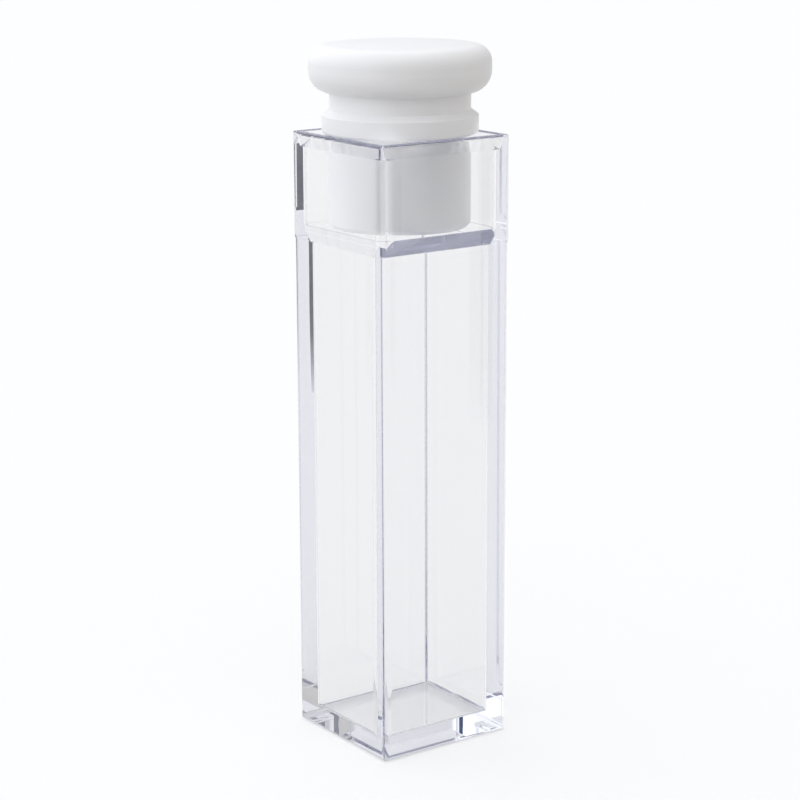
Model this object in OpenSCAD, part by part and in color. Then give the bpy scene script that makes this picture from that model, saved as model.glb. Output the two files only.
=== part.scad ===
// Square optical cell with a push-in stopper, standing on its closed end.
// Origin: centre of the cell's base.  +Z: up the cell's long axis.  Units: millimetres.

/* [Cell outside] */
// Height of the cell from its base to its rim
cell_h = 50; // [35:0.5:70]
// Outside width across the square head, the widest part of the cell
head_w = 12.5; // [10:0.1:16]
// Height of the head, from the shoulder up to the rim
head_h = 8.65; // [6:0.05:12]
// How far each face of the head stands out past the body below it
head_proud = 0.05; // [0.02:0.01:0.3]
// Radius on the four upright outer edges
edge_r = 0.4; // [0.1:0.05:0.6]
// Radius on the edges round the base and round the rim, where the rim's wall leaves room for it
end_r = 0.3; // [0.1:0.05:0.4]

/* [Cell inside] */
// Thickness of the two walls that face along X
side_wall = 1.1; // [0.8:0.05:2]
// Thickness of the two walls that face along Y
window_wall = 1.85; // [0.8:0.05:2.4]
// Thickness of the floor under the measuring chamber
floor_t = 1.55; // [0.8:0.05:3]
// Radius in the upright inner corners of the measuring chamber
chamber_r = 0.4; // [0.1:0.05:1]
// Radius between the measuring chamber's walls and its floor
floor_r = 0.3; // [0.1:0.05:0.8]
// Thickness of the walls round the stopper's socket in the head
socket_wall = 0.75; // [0.5:0.05:1]
// Radius in the upright inner corners of the socket
socket_r = 0.9; // [0.1:0.05:1.5]
// Height of the ledge, from the shoulder up to the socket's floor
ledge_t = 1.15; // [0.5:0.05:2]
// Width of the flat left round the socket's floor
ledge_w = 0.1; // [0.05:0.05:0.3]
// Height of the slope from the socket's floor down to the measuring chamber
funnel_h = 1.35; // [0.5:0.05:2.5]
// Height of the bevel that leads the stopper in at the rim
lead_in_h = 1.2; // [0.3:0.05:1.6]
// Width of that bevel, measured across the wall
lead_in_w = 0.35; // [0.1:0.05:0.4]

/* [Stopper plug] */
// Gap between the plug and each flat wall of the socket
plug_gap = 0.05; // [0.03:0.01:0.15]
// Gap between the plug's end and the socket's floor
plug_end_gap = 0.1; // [0.05:0.05:1]
// Bevel round the plug's lower end
plug_bevel = 0.3; // [0.1:0.05:0.6]

/* [Stopper cap] */
// How far the flange's edge lies inside the head's outer faces
flange_inset = 0; // [0:0.05:0.4]
// Height of the flange's straight edge, from the rim up to the slope
flange_h = 1.45; // [1:0.05:3]
// Radius on the flange's lower edge
flange_r = 0.25; // [0.1:0.05:0.5]
// Height of the slope from the flange's edge up to the neck
slope_h = 0.45; // [0.2:0.05:1]
// How far the neck lies inside the flange's edge
neck_inset = 0.62; // [0.3:0.01:1.5]
// Height of the neck between the slope and the knob
neck_h = 1.3; // [0.5:0.1:3]
// How far the knob's edge stands out past the flange's edge
knob_overhang = 1.03; // [0.5:0.01:3]
// Height of the knob at its round edge
knob_h = 3.75; // [3.2:0.05:6]
// Radius on the knob's lower edge
knob_low_r = 1.75; // [0.5:0.05:1.9]
// Radius on the knob's upper edge
knob_top_r = 1.35; // [0.3:0.05:1.9]
// Rise of the shallow dome on top of the knob
dome_h = 0.2; // [0.1:0.05:0.8]

/* [Hidden] */
$fn = 96;
// Length that a cut runs past the face it opens through
past = 1;
body_w = head_w - 2 * head_proud;
shoulder_z = cell_h - head_h;
ledge_z = shoulder_z + ledge_t;
chamber_x = body_w - 2 * side_wall;
chamber_y = body_w - 2 * window_wall;
socket_w = head_w - 2 * socket_wall;
rim_r = min(end_r, socket_wall - lead_in_w);
funnel_w = socket_w - 2 * ledge_w;
funnel_z = ledge_z - funnel_h;
plug_d = socket_w - 2 * plug_gap;
plug_end_z = ledge_z + plug_end_gap;
flange_d = head_w - 2 * flange_inset;
slope_z = cell_h + flange_h;
neck_z = slope_z + slope_h;
neck_d = flange_d - 2 * neck_inset;
knob_z = neck_z + neck_h;
knob_d = flange_d + 2 * knob_overhang;
knob_top_z = knob_z + knob_h;

// Rectangle with rounded corners, centred on the axis
module rounded_rectangle(w_x, w_y, r) {
    square([w_x - 2 * r, w_y], center = true);
    square([w_x, w_y - 2 * r], center = true);
    for (side_x = [-1, 1], side_y = [-1, 1])
        translate([side_x * (w_x / 2 - r), side_y * (w_y / 2 - r)]) circle(r);
}

// Keeps what a child outline, drawn as (across, up), covers when seen from the front and from the side
module seen_from_two_sides(reach) {
    intersection() {
        rotate([90, 0, 0]) linear_extrude(reach, center = true) children();
        rotate([90, 0, 90]) linear_extrude(reach, center = true) children();
    }
}

// Front view of the body, with a rounded base edge; it runs up inside the head to the ledge
module body_outline() {
    translate([-body_w / 2, end_r]) square([body_w, ledge_z - end_r]);
    translate([-body_w / 2 + end_r, 0]) square([body_w - 2 * end_r, ledge_z]);
    for (side = [-1, 1]) translate([side * (body_w / 2 - end_r), end_r]) circle(end_r);
}

// Front view of the head: a small bevel under its edge and a rounded rim
module head_outline() {
    half = head_w / 2;
    polygon([[-body_w / 2, shoulder_z], [body_w / 2, shoulder_z],
             [half, shoulder_z + head_proud], [half, cell_h - rim_r],
             [-half, cell_h - rim_r], [-half, shoulder_z + head_proud]]);
    translate([-half + rim_r, shoulder_z + rim_r]) square([head_w - 2 * rim_r, head_h - rim_r]);
    for (side = [-1, 1]) translate([side * (half - rim_r), cell_h - rim_r]) circle(rim_r);
}

// Front view of the bevel inside the rim, run on past it so that the cut is open
module lead_in_outline() {
    slope = lead_in_w / lead_in_h;
    low = socket_w / 2;
    high = low + lead_in_w + slope * past;
    polygon([[-low, cell_h - lead_in_h], [low, cell_h - lead_in_h],
             [high, cell_h + past], [-high, cell_h + past]]);
}

// View of the measuring chamber across the given width, with rounded lower corners, run up past the ledge
module chamber_outline(width) {
    top_z = ledge_z + past;
    translate([-width / 2, floor_t + floor_r]) square([width, top_z - floor_t - floor_r]);
    translate([-width / 2 + floor_r, floor_t]) square([width - 2 * floor_r, top_z - floor_t]);
    for (side = [-1, 1]) translate([side * (width / 2 - floor_r), floor_t + floor_r]) circle(floor_r);
}

// View of the slope over a chamber of the given width, run straight up past the ledge
module funnel_outline(width) {
    low = width / 2;
    high = funnel_w / 2;
    polygon([[-low, funnel_z], [low, funnel_z], [high, ledge_z], [high, ledge_z + past],
             [-high, ledge_z + past], [-high, ledge_z]]);
}

// Hollow of the measuring chamber and of the slope above it
module chamber() {
    intersection() {
        linear_extrude(ledge_z + past) rounded_rectangle(chamber_x, chamber_y, chamber_r);
        rotate([90, 0, 0]) linear_extrude(2 * body_w, center = true) chamber_outline(chamber_x);
        rotate([90, 0, 90]) linear_extrude(2 * body_w, center = true) chamber_outline(chamber_y);
    }
    intersection() {
        linear_extrude(ledge_z + past) rounded_rectangle(funnel_w, funnel_w, socket_r);
        rotate([90, 0, 0]) linear_extrude(2 * body_w, center = true) funnel_outline(chamber_x);
        rotate([90, 0, 90]) linear_extrude(2 * body_w, center = true) funnel_outline(chamber_y);
    }
}

// Clear one-piece cell: body with the measuring chamber, and a head with the stopper's socket
module cell() {
    color([0.86, 0.92, 0.95, 0.35])
    difference() {
        union() {
            intersection() {
                linear_extrude(ledge_z) rounded_rectangle(body_w, body_w, edge_r);
                seen_from_two_sides(2 * body_w) body_outline();
            }
            intersection() {
                linear_extrude(cell_h) rounded_rectangle(head_w, head_w, edge_r);
                seen_from_two_sides(2 * head_w) head_outline();
            }
        }
        chamber();
        translate([0, 0, ledge_z])
            linear_extrude(cell_h) rounded_rectangle(socket_w, socket_w, socket_r);
        seen_from_two_sides(2 * head_w) lead_in_outline();
    }
}

// Half section of the plug, from its bevelled end up into the flange
module plug_section() {
    radius = plug_d / 2;
    polygon([[0, plug_end_z], [radius - plug_bevel, plug_end_z],
             [radius, plug_end_z + plug_bevel], [radius, slope_z], [0, slope_z]]);
}

// Half section of the flange, its slope and the neck
module flange_section() {
    radius = flange_d / 2;
    translate([0, cell_h]) square([radius - flange_r, flange_h]);
    translate([radius - flange_r, cell_h + flange_r]) circle(flange_r);
    polygon([[0, cell_h + flange_r], [radius, cell_h + flange_r], [radius, slope_z],
             [neck_d / 2, neck_z], [neck_d / 2, knob_z + knob_low_r], [0, knob_z + knob_low_r]]);
}

// Half section of the knob, with two rounded edges under a shallow dome
module knob_section() {
    radius = knob_d / 2;
    flat = radius - knob_top_r;
    dome_r = (flat * flat + dome_h * dome_h) / (2 * dome_h);
    translate([0, knob_z]) square([radius - knob_low_r, knob_h]);
    translate([0, knob_z + knob_low_r]) square([radius, knob_h - knob_low_r - knob_top_r]);
    translate([0, knob_z + knob_low_r]) square([flat, knob_h - knob_low_r]);
    translate([radius - knob_low_r, knob_z + knob_low_r]) circle(knob_low_r);
    translate([flat, knob_top_z - knob_top_r]) circle(knob_top_r);
    intersection() {
        translate([0, knob_top_z + dome_h - dome_r]) circle(dome_r, $fn = 720);
        translate([0, knob_top_z - knob_top_r]) square([flat, knob_top_r + dome_h]);
    }
}

// White one-piece stopper: plug, flange, neck and knob, turned about the cell's axis
module stopper() {
    color("white")
    rotate_extrude() {
        plug_section();
        flange_section();
        knob_section();
    }
}

cell();
stopper();
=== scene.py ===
"""Looks of a clear square sample cell with a white push-in stopper, lit on a pale table."""
import math
from collections import namedtuple

import bpy
from mathutils import Matrix, Vector


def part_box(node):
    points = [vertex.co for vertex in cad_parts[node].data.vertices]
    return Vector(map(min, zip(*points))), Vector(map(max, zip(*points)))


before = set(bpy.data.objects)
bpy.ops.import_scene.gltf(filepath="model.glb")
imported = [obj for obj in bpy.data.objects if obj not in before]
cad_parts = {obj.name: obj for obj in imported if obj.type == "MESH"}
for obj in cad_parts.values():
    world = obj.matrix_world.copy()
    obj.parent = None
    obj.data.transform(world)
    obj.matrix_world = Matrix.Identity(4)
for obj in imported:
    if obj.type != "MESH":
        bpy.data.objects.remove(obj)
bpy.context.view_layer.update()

bl_info = {
    "name": "Sample cell looks",
    "version": (1, 0, 0),
    "blender": (4, 5, 0),
    "location": "3D View > Sidebar > Sample cell",
    "description": "Finishes a moulded clear cell and its stopper, and sets a soft studio round them",
    "category": "Object",
}

CELL_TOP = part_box("cell")[1][2]
HEX_DIGITS = 16
SENSOR_WIDTH = 36
NEAR_CLIP = 0.01
FAR_CLIP = 10
FOOT_TO_HEAD = "foot_to_head"


# ---------------------------------------------------------------- small helpers

def linear(hex_colour):
    """Turns an sRGB hex colour such as 'F2F3F6' into linear red, green, blue and alpha."""
    channels = [int(hex_colour[i:i + 2], HEX_DIGITS) / 255 for i in (0, 2, 4)]
    curve = [c / 12.92 if c <= 0.04045 else ((c + 0.055) / 1.055) ** 2.4 for c in channels]
    return (*curve, 1.0)


def add_node(tree, kind, links=None, **settings):
    """Adds a node, sets its properties or input sockets by name, and links the sockets given."""
    node = tree.nodes.new(kind)
    for name, value in settings.items():
        socket_name = name.replace("_", " ")
        if hasattr(node, name):
            setattr(node, name, value)
        else:
            node.inputs[socket_name].default_value = value
    for socket_name, source in (links or {}).items():
        tree.links.new(source, node.inputs[socket_name])
    return node


def set_tones(ramp, tones):
    """Fills a colour ramp from (place, colour) pairs, in rising order of place."""
    while len(ramp.elements) < len(tones):
        ramp.elements.new(1.0)
    for element, (place, colour) in zip(ramp.elements, tones):
        element.position = place
        element.color = colour


def empty_material(name):
    """A new material with an output node and nothing else."""
    material = bpy.data.materials.new(name)
    material.use_nodes = True
    material.node_tree.nodes.clear()
    return material, material.node_tree


def finish_node(node_name, material):
    """Gives a node of the frame its material in place of the one that it came with."""
    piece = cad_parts[node_name]
    piece.data.materials.clear()
    piece.data.materials.append(material)
    for face in piece.data.polygons:
        face.material_index = 0
    return piece


# ---------------------------------------------------------------- materials

def clear_moulded_acrylic(finish):
    """Acrylic moulded in a polished tool: clear, bluish where light runs along a wall, faintly rippled."""
    material, tree = empty_material("clear_moulded_acrylic")
    place = add_node(tree, "ShaderNodeTexCoord")
    stretch = add_node(tree, "ShaderNodeMapping", {"Vector": place.outputs["Object"]},
                       Scale=finish.flow_stretch)
    flow = add_node(tree, "ShaderNodeTexNoise", {"Vector": stretch.outputs["Vector"]},
                    Scale=1 / finish.flow_width, Detail=2.0, Roughness=0.4)
    ripple = add_node(tree, "ShaderNodeBump", {"Height": flow.outputs["Fac"]},
                      Strength=finish.flow_strength, Distance=finish.flow_depth)
    surface = add_node(
        tree, "ShaderNodeBsdfPrincipled", {"Normal": ripple.outputs["Normal"]},
        Base_Color=finish.tint, Roughness=finish.roughness, IOR=finish.ior, Transmission_Weight=1.0,
    )
    bulk = add_node(tree, "ShaderNodeVolumeAbsorption",
                    Color=finish.bulk_colour, Density=finish.bulk_density)
    add_node(tree, "ShaderNodeOutputMaterial",
             {"Surface": surface.outputs["BSDF"], "Volume": bulk.outputs["Volume"]})
    return material


def white_moulded_polyethylene(finish):
    """Polyethylene moulded in a fine-blasted tool: milky white, soft at its edges, with a broad sheen."""
    material, tree = empty_material("white_moulded_polyethylene")
    place = add_node(tree, "ShaderNodeTexCoord")
    cloud = add_node(tree, "ShaderNodeTexNoise", {"Vector": place.outputs["Object"]},
                     Scale=1 / finish.cloud_width, Detail=3.0, Roughness=0.5)
    tones = add_node(tree, "ShaderNodeValToRGB", {"Fac": cloud.outputs["Fac"]})
    tones.color_ramp.elements[0].color = finish.shade_colour
    tones.color_ramp.elements[1].color = finish.colour
    # The skin's real grain, about 0.03 mm, is too fine to show, so it is drawn as coarse as it needs to show.
    grain = add_node(tree, "ShaderNodeTexNoise", {"Vector": place.outputs["Object"]},
                     Scale=1 / finish.grain_width, Detail=2.0, Roughness=0.6)
    sheen = add_node(tree, "ShaderNodeMapRange", {"Value": grain.outputs["Fac"]},
                     To_Min=finish.roughness - finish.roughness_spread,
                     To_Max=finish.roughness + finish.roughness_spread)
    skin = add_node(tree, "ShaderNodeBump", {"Height": grain.outputs["Fac"]},
                    Strength=finish.grain_strength, Distance=finish.grain_depth)
    surface = add_node(
        tree, "ShaderNodeBsdfPrincipled",
        {"Base Color": tones.outputs["Color"], "Roughness": sheen.outputs["Result"],
         "Normal": skin.outputs["Normal"]},
        IOR=finish.ior, Subsurface_Weight=finish.depth_weight, Subsurface_Scale=finish.depth_reach,
        Subsurface_Radius=finish.depth_colour,
    )
    add_node(tree, "ShaderNodeOutputMaterial", {"Surface": surface.outputs["BSDF"]})
    return material


def cast_opal_acrylic(studio):
    """Opal acrylic cast in sheet and lit from beneath: even, pale and matt, with hardly a shadow on it."""
    material, tree = empty_material("cast_opal_acrylic")
    surface = add_node(
        tree, "ShaderNodeBsdfPrincipled",
        Base_Color=studio.table_colour, Roughness=1.0, Specular_IOR_Level=0.0,
        Emission_Color=studio.glow_colour, Emission_Strength=studio.glow,
    )
    add_node(tree, "ShaderNodeOutputMaterial", {"Surface": surface.outputs["BSDF"]})
    return material


def painted_reflection_and_shade_felt(name, painted_reflection_and_shade_tones):
    """Matt felt graded in tones from foot to head, darker than the room that the clear walls show: the tones
    are painted reflection in the clear walls and in gloss, and painted shade on the stopper's plug inside the
    cell.
    """
    material, tree = empty_material("painted_reflection_and_shade_felt_" + name)
    place = add_node(tree, "ShaderNodeUVMap", uv_map=FOOT_TO_HEAD)
    along = add_node(tree, "ShaderNodeSeparateXYZ", {"Vector": place.outputs["UV"]})
    # These tones are painted reflection in the clear walls and painted shade on the plug, not a dye.
    tones = add_node(tree, "ShaderNodeValToRGB", {"Fac": along.outputs["Y"]})
    set_tones(tones.color_ramp, painted_reflection_and_shade_tones)
    surface = add_node(tree, "ShaderNodeBsdfDiffuse", {"Color": tones.outputs["Color"]})
    add_node(tree, "ShaderNodeOutputMaterial", {"Surface": surface.outputs["BSDF"]})
    return material


# ---------------------------------------------------------------- settings

class CellFinish(bpy.types.PropertyGroup):
    tint: bpy.props.FloatVectorProperty(
        name="Tint", description="Colour of the clear plastic", subtype="COLOR", size=4,
        min=0, max=1, default=linear("FAFAFA"))
    bulk_colour: bpy.props.FloatVectorProperty(
        name="Bulk colour", description="Colour that light takes on along a long path inside",
        subtype="COLOR", size=4, min=0, max=1, default=linear("656FAA"))
    bulk_density: bpy.props.FloatProperty(
        name="Bulk density", description="How fast light takes on the bulk colour, per metre",
        min=0, max=500, default=15)
    ior: bpy.props.FloatProperty(
        name="Refractive index", description="Refractive index of acrylic",
        min=1.3, max=1.8, default=1.49)
    roughness: bpy.props.FloatProperty(
        name="Roughness", description="Roughness of the polished faces", min=0, max=1, default=0.0)
    flow_stretch: bpy.props.FloatVectorProperty(
        name="Flow stretch", description="How the flow ripple is drawn out along the cell", size=3,
        subtype="XYZ", default=(1, 1, 0.12))
    flow_width: bpy.props.FloatProperty(
        name="Flow width", description="Width of one flow ripple across the cell", unit="LENGTH",
        min=0.0001, max=0.1, default=0.00385)
    flow_strength: bpy.props.FloatProperty(
        name="Flow strength", description="How much the ripple bends the light",
        min=0, max=1, default=0.25)
    flow_depth: bpy.props.FloatProperty(
        name="Flow depth", description="Height of the ripple", unit="LENGTH",
        min=0, max=0.001, default=0.00001)


class StopperFinish(bpy.types.PropertyGroup):
    colour: bpy.props.FloatVectorProperty(
        name="Colour", description="Colour of the white plastic", subtype="COLOR", size=4,
        min=0, max=1, default=linear("F8F8F9"))
    shade_colour: bpy.props.FloatVectorProperty(
        name="Shade colour", description="Colour where the plastic is a little greyer",
        subtype="COLOR", size=4, min=0, max=1, default=linear("F1F1F3"))
    cloud_width: bpy.props.FloatProperty(
        name="Cloud width", description="Width of one patch of the drift in colour", unit="LENGTH",
        min=0.0001, max=0.1, default=0.00556)
    grain_width: bpy.props.FloatProperty(
        name="Grain width", description="Width of one grain of the blasted skin", unit="LENGTH",
        min=0.00001, max=0.01, default=0.000238)
    grain_strength: bpy.props.FloatProperty(
        name="Grain strength", description="How much the skin breaks up the light",
        min=0, max=1, default=0.12)
    grain_depth: bpy.props.FloatProperty(
        name="Grain depth", description="Height of the skin's grain", unit="LENGTH",
        min=0, max=0.001, default=0.00002)
    ior: bpy.props.FloatProperty(
        name="Refractive index", description="Refractive index of polyethylene",
        min=1.3, max=1.8, default=1.51)
    roughness: bpy.props.FloatProperty(
        name="Roughness", description="Roughness of the satin skin", min=0, max=1, default=0.34)
    roughness_spread: bpy.props.FloatProperty(
        name="Roughness spread", description="How far the roughness wanders", min=0, max=0.3, default=0.05)
    depth_weight: bpy.props.FloatProperty(
        name="Depth", description="How much light passes under the skin", min=0, max=1, default=0.5)
    depth_reach: bpy.props.FloatProperty(
        name="Depth reach", description="How far light runs under the skin", unit="LENGTH",
        min=0, max=0.01, default=0.0012)
    depth_colour: bpy.props.FloatVectorProperty(
        name="Depth colour", description="Share of red, green and blue that runs furthest", size=3,
        subtype="XYZ", default=(1.0, 0.95, 0.9))


class Studio(bpy.types.PropertyGroup):
    table_width: bpy.props.FloatProperty(
        name="Table width", description="Width of the pale table", unit="LENGTH",
        min=0.5, max=10, default=4.0)
    air_film: bpy.props.FloatProperty(
        name="Air film", description="Gap between the table and the cell's base", unit="LENGTH",
        min=0, max=0.001, default=0.00003)
    table_colour: bpy.props.FloatVectorProperty(
        name="Table colour", description="Colour of the table top", subtype="COLOR", size=4,
        min=0, max=1, default=linear("BEBEBE"))
    glow_colour: bpy.props.FloatVectorProperty(
        name="Glow colour", description="Colour of the light from beneath", subtype="COLOR", size=4,
        min=0, max=1, default=linear("FFFFFF"))
    glow: bpy.props.FloatProperty(
        name="Glow", description="Strength of the light from beneath", min=0, max=5, default=0.45)
    key_direction: bpy.props.FloatVectorProperty(
        name="Key direction", description="Direction that the soft light comes from", subtype="XYZ", size=3,
        default=(-0.59, 0.52, 0.62))
    room_light: bpy.props.FloatProperty(
        name="Room light", description="Strength of the room's light where it is brightest",
        min=0, max=10, default=1.5)
    side_cards: bpy.props.BoolProperty(
        name="Side cards", description="Stand the felt cards beside the set", default=True)
    light_bounces: bpy.props.IntProperty(
        name="Light bounces", description="How often light may bounce inside the clear walls",
        min=4, max=128, default=48)
    azimuth: bpy.props.FloatProperty(
        name="Camera azimuth", description="Direction the camera stands in, turned about the cell's axis",
        subtype="ANGLE", unit="ROTATION", default=math.radians(-35.81))
    elevation: bpy.props.FloatProperty(
        name="Camera elevation", description="Angle the camera looks down at",
        subtype="ANGLE", unit="ROTATION", default=math.radians(13.67))
    roll: bpy.props.FloatProperty(
        name="Camera roll", description="Tilt of the camera about its own axis",
        subtype="ANGLE", unit="ROTATION", default=math.radians(-0.19))
    distance: bpy.props.FloatProperty(
        name="Camera distance", description="From the camera to the point it aims at",
        unit="LENGTH", min=0.05, max=2, default=0.18813)
    aim: bpy.props.FloatVectorProperty(
        name="Aim", description="Point that the camera looks at", subtype="XYZ", unit="LENGTH", size=3,
        default=(-0.00007, 0.00005, 0.02810))
    lens: bpy.props.FloatProperty(
        name="Lens", description="Focal length on a 36 mm wide sensor, in millimetres",
        min=20, max=300, default=103.65)


# A card's foot and head are each an edge: how far from the cell's axis it stands, its height, and where it
# starts and ends across the card's direction, which is turned from +X.
Edge = namedtuple("Edge", "distance height start end")
# A card's tones, which are painted reflection and painted shade, run from its foot to its head as (place,
# colour).
Card = namedtuple("Card", "name direction foot head tones")
NEAR_SIDE = math.radians(-56)
FAR_SIDE = math.radians(127)
FRONT = math.radians(-90)
OFF_TABLE = 0.0002
# The two flags and the far_sky strip paint dark, blue and pale blue reflections into the clear walls;
# front_shade paints shade on the stopper's plug.
CARDS = (
    Card("near_flag", NEAR_SIDE,
         Edge(0.110, OFF_TABLE, 0.00630, 0.00785), Edge(0.110, CELL_TOP, 0.00610, 0.00785),
         ((0.0, linear("E6E8EE")), (0.06, linear("B4B6BC")), (0.16, linear("64666C")),
          (0.3, linear("4A4B52")), (0.6, linear("54555C")), (1.0, linear("8A8C96")))),
    Card("far_flag", FAR_SIDE,
         Edge(0.055, OFF_TABLE, -0.00890, -0.0076), Edge(0.055, CELL_TOP, -0.00905, -0.0076),
         ((0.0, linear("E2E6EC")), (0.05, linear("AEB2BA")), (0.15, linear("5C5E6A")),
          (0.3, linear("3C3E52")), (0.4, linear("32486E")), (0.5, linear("2E5496")),
          (0.6, linear("4070B4")), (1.0, linear("7C96C0")))),
    Card("far_sky", FAR_SIDE,
         Edge(0.055, 0.020, -0.0104, -0.00895), Edge(0.055, CELL_TOP, -0.0104, -0.00910),
         ((0.0, linear("F4F8FF")), (0.2, linear("C8DAFA")), (1.0, linear("B8C8E8")))),
    Card("front_shade", FRONT,
         Edge(0.040, 0.036, -0.050, 0.020), Edge(0.040, 0.110, -0.050, 0.020),
         ((0.0, linear("46464C")), (0.3, linear("38383E")), (1.0, linear("32323A")))),
)
# Tones of the room as (place, colour), from its dim side to its bright side
ROOM_TONES = (
    (0.0, linear("A8A6A3")), (0.3, linear("B1AFAD")), (0.5, linear("B2B2B2")),
    (0.62, linear("BDBEC0")), (0.75, linear("ECEDF0")), (1.0, linear("F1F3F6")),
)


# ---------------------------------------------------------------- operators

class CELL_OT_finish_cell(bpy.types.Operator):
    """Gives the clear cell its moulded acrylic"""
    bl_idname = "cell.finish_cell"
    bl_label = "Finish cell"

    def execute(self, context):
        finish_node("cell", clear_moulded_acrylic(context.scene.cell_finish))
        return {"FINISHED"}


class CELL_OT_finish_stopper(bpy.types.Operator):
    """Gives the stopper its white polyethylene"""
    bl_idname = "cell.finish_stopper"
    bl_label = "Finish stopper"

    def execute(self, context):
        finish_node("stopper", white_moulded_polyethylene(context.scene.stopper_finish))
        return {"FINISHED"}


def make_table(studio):
    """A wide flat table, a hair under the cell's base so that a film of air lies between them."""
    half, top = studio.table_width / 2, -studio.air_film
    mesh = bpy.data.meshes.new("table")
    corners = [(-half, -half, top), (half, -half, top), (half, half, top), (-half, half, top)]
    mesh.from_pydata(corners, [], [(0, 1, 2, 3)])
    table = bpy.data.objects.new("table", mesh)
    table.visible_diffuse = False
    table.data.materials.append(cast_opal_acrylic(studio))
    bpy.context.collection.objects.link(table)


def make_card(card):
    """A card beside the set that shows in gloss and through the clear walls, and nowhere else: a painted
    reflection in the walls, or painted shade on the plug inside them.
    """
    out = Vector((math.cos(card.direction), math.sin(card.direction), 0))
    across = Vector((-out.y, out.x, 0))
    corners = [out * edge.distance + across * place + Vector((0, 0, edge.height))
               for edge in (card.foot, card.head) for place in (edge.start, edge.end)]
    mesh = bpy.data.meshes.new(card.name)
    mesh.from_pydata(corners, [], [(0, 1, 3, 2)])
    places = mesh.uv_layers.new(name=FOOT_TO_HEAD)
    for place, corner in zip(places.data, ((0, 0), (1, 0), (1, 1), (0, 1))):
        place.uv = corner
    board = bpy.data.objects.new(card.name, mesh)
    board.data.materials.append(painted_reflection_and_shade_felt(card.name, card.tones))
    board.visible_camera = False
    board.visible_diffuse = False
    board.visible_shadow = False
    bpy.context.collection.objects.link(board)


def make_room_light(studio):
    """Soft light from the whole room, brighter on the key side."""
    world = bpy.data.worlds.new("room")
    world.use_nodes = True
    tree = world.node_tree
    tree.nodes.clear()
    direction = add_node(tree, "ShaderNodeTexCoord")
    facing = add_node(tree, "ShaderNodeVectorMath", operation="DOT_PRODUCT")
    tree.links.new(direction.outputs["Generated"], facing.inputs[0])
    facing.inputs[1].default_value = Vector(studio.key_direction).normalized()
    turn = add_node(tree, "ShaderNodeMapRange", {"Value": facing.outputs["Value"]},
                    From_Min=-1.0, From_Max=1.0)
    tones = add_node(tree, "ShaderNodeValToRGB", {"Fac": turn.outputs["Result"]})
    set_tones(tones.color_ramp, ROOM_TONES)
    light = add_node(tree, "ShaderNodeBackground", {"Color": tones.outputs["Color"]},
                     Strength=studio.room_light)
    add_node(tree, "ShaderNodeOutputWorld", {"Surface": light.outputs["Background"]})
    bpy.context.scene.world = world


def make_camera(studio):
    """A long-lens camera that looks down at the cell's front corner."""
    azimuth, elevation = studio.azimuth, studio.elevation
    back = Vector((
        math.sin(azimuth) * math.cos(elevation),
        -math.cos(azimuth) * math.cos(elevation),
        math.sin(elevation),
    ))
    camera = bpy.data.objects.new("camera", bpy.data.cameras.new("camera"))
    camera.data.lens = studio.lens
    camera.data.sensor_width = SENSOR_WIDTH
    camera.data.clip_start = NEAR_CLIP
    camera.data.clip_end = FAR_CLIP
    turn = (-back).to_track_quat("-Z", "Y").to_matrix() @ Matrix.Rotation(studio.roll, 3, "Z")
    camera.matrix_world = Matrix.Translation(Vector(studio.aim) + back * studio.distance) @ turn.to_4x4()
    bpy.context.collection.objects.link(camera)
    bpy.context.scene.camera = camera


class CELL_OT_build_stage(bpy.types.Operator):
    """Builds the table, the cards, the light and the camera"""
    bl_idname = "cell.build_stage"
    bl_label = "Build stage"

    def execute(self, context):
        studio = context.scene.cell_studio
        make_table(studio)
        for card in CARDS if studio.side_cards else ():
            make_card(card)
        make_room_light(studio)
        make_camera(studio)
        context.scene.view_settings.view_transform = "Standard"
        context.scene.cycles.max_bounces = studio.light_bounces
        context.scene.cycles.transmission_bounces = studio.light_bounces
        context.scene.cycles.glossy_bounces = studio.light_bounces
        context.scene.cycles.transparent_max_bounces = studio.light_bounces
        context.scene.cycles.diffuse_bounces = studio.light_bounces
        context.scene.cycles.blur_glossy = 0
        return {"FINISHED"}


class CELL_PT_looks(bpy.types.Panel):
    """Lists the steps that dress the sample cell"""
    bl_idname = "CELL_PT_looks"
    bl_label = "Sample cell"
    bl_space_type = "VIEW_3D"
    bl_region_type = "UI"
    bl_category = "Sample cell"

    def draw(self, context):
        for settings, step in (
            (context.scene.cell_finish, "cell.finish_cell"),
            (context.scene.stopper_finish, "cell.finish_stopper"),
            (context.scene.cell_studio, "cell.build_stage"),
        ):
            box = self.layout.box()
            for name in settings.bl_rna.properties.keys():
                if name not in ("rna_type", "name"):
                    box.prop(settings, name)
            box.operator(step)


CLASSES = (
    CellFinish, StopperFinish, Studio,
    CELL_OT_finish_cell, CELL_OT_finish_stopper, CELL_OT_build_stage, CELL_PT_looks,
)


def register():
    for each in CLASSES:
        bpy.utils.register_class(each)
    bpy.types.Scene.cell_finish = bpy.props.PointerProperty(type=CellFinish)
    bpy.types.Scene.stopper_finish = bpy.props.PointerProperty(type=StopperFinish)
    bpy.types.Scene.cell_studio = bpy.props.PointerProperty(type=Studio)


def unregister():
    del bpy.types.Scene.cell_studio
    del bpy.types.Scene.stopper_finish
    del bpy.types.Scene.cell_finish
    for each in reversed(CLASSES):
        bpy.utils.unregister_class(each)


def main():
    """Registers the add-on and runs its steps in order."""
    register()
    bpy.ops.cell.finish_cell()
    bpy.ops.cell.finish_stopper()
    bpy.ops.cell.build_stage()


if __name__ == "__main__":
    main()
